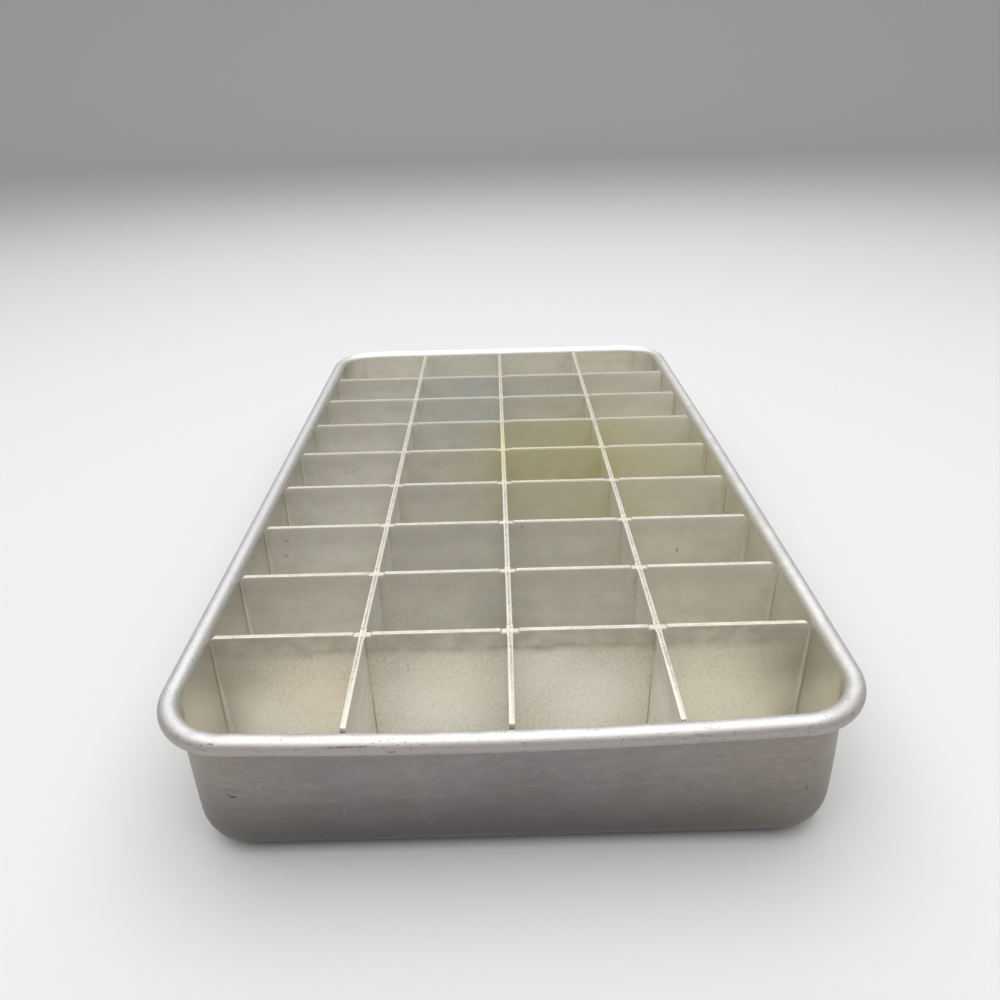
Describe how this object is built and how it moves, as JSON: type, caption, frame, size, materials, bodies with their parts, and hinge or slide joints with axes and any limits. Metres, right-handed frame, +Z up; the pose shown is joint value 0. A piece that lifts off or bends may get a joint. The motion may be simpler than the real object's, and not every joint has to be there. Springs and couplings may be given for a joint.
{
  "type": "ice cube tray",
  "caption": "Shallow drawn aluminium ice cube tray with a rolled bead round its rim and a lift-out grid of halved and staked divider strips.",
  "frame": {"origin": "centre of the pan's underside, on the surface that the tray stands on", "axes": "+Z up out of the pan, +Y along the long strips away from the viewer, +X along the cross strips to the viewer's right"},
  "size_m": [0.203, 0.343, 0.051],
  "materials": {
    "pan_aluminium": "satin, finely brushed along the walls, with small pits and scratches",
    "divider_aluminium": "matte, oxidised warm grey with mineral stains and worn pale edges"
  },
  "bodies": {
    "tray": {"tray_pan": "pan_aluminium"},
    "grid": {"long_divider_1": "divider_aluminium", "long_divider_2": "divider_aluminium", "long_divider_3": "divider_aluminium", "cross_divider_1": "divider_aluminium", "cross_divider_2": "divider_aluminium", "cross_divider_3": "divider_aluminium", "cross_divider_4": "divider_aluminium", "cross_divider_5": "divider_aluminium", "cross_divider_6": "divider_aluminium", "cross_divider_7": "divider_aluminium", "cross_divider_8": "divider_aluminium"}
  },
  "joints": [
    {"name": "grid_lift", "type": "slide", "parent": "tray", "child": "grid", "axis": [0, 0, 1], "range_m": [0, 0.06]}
  ]
}
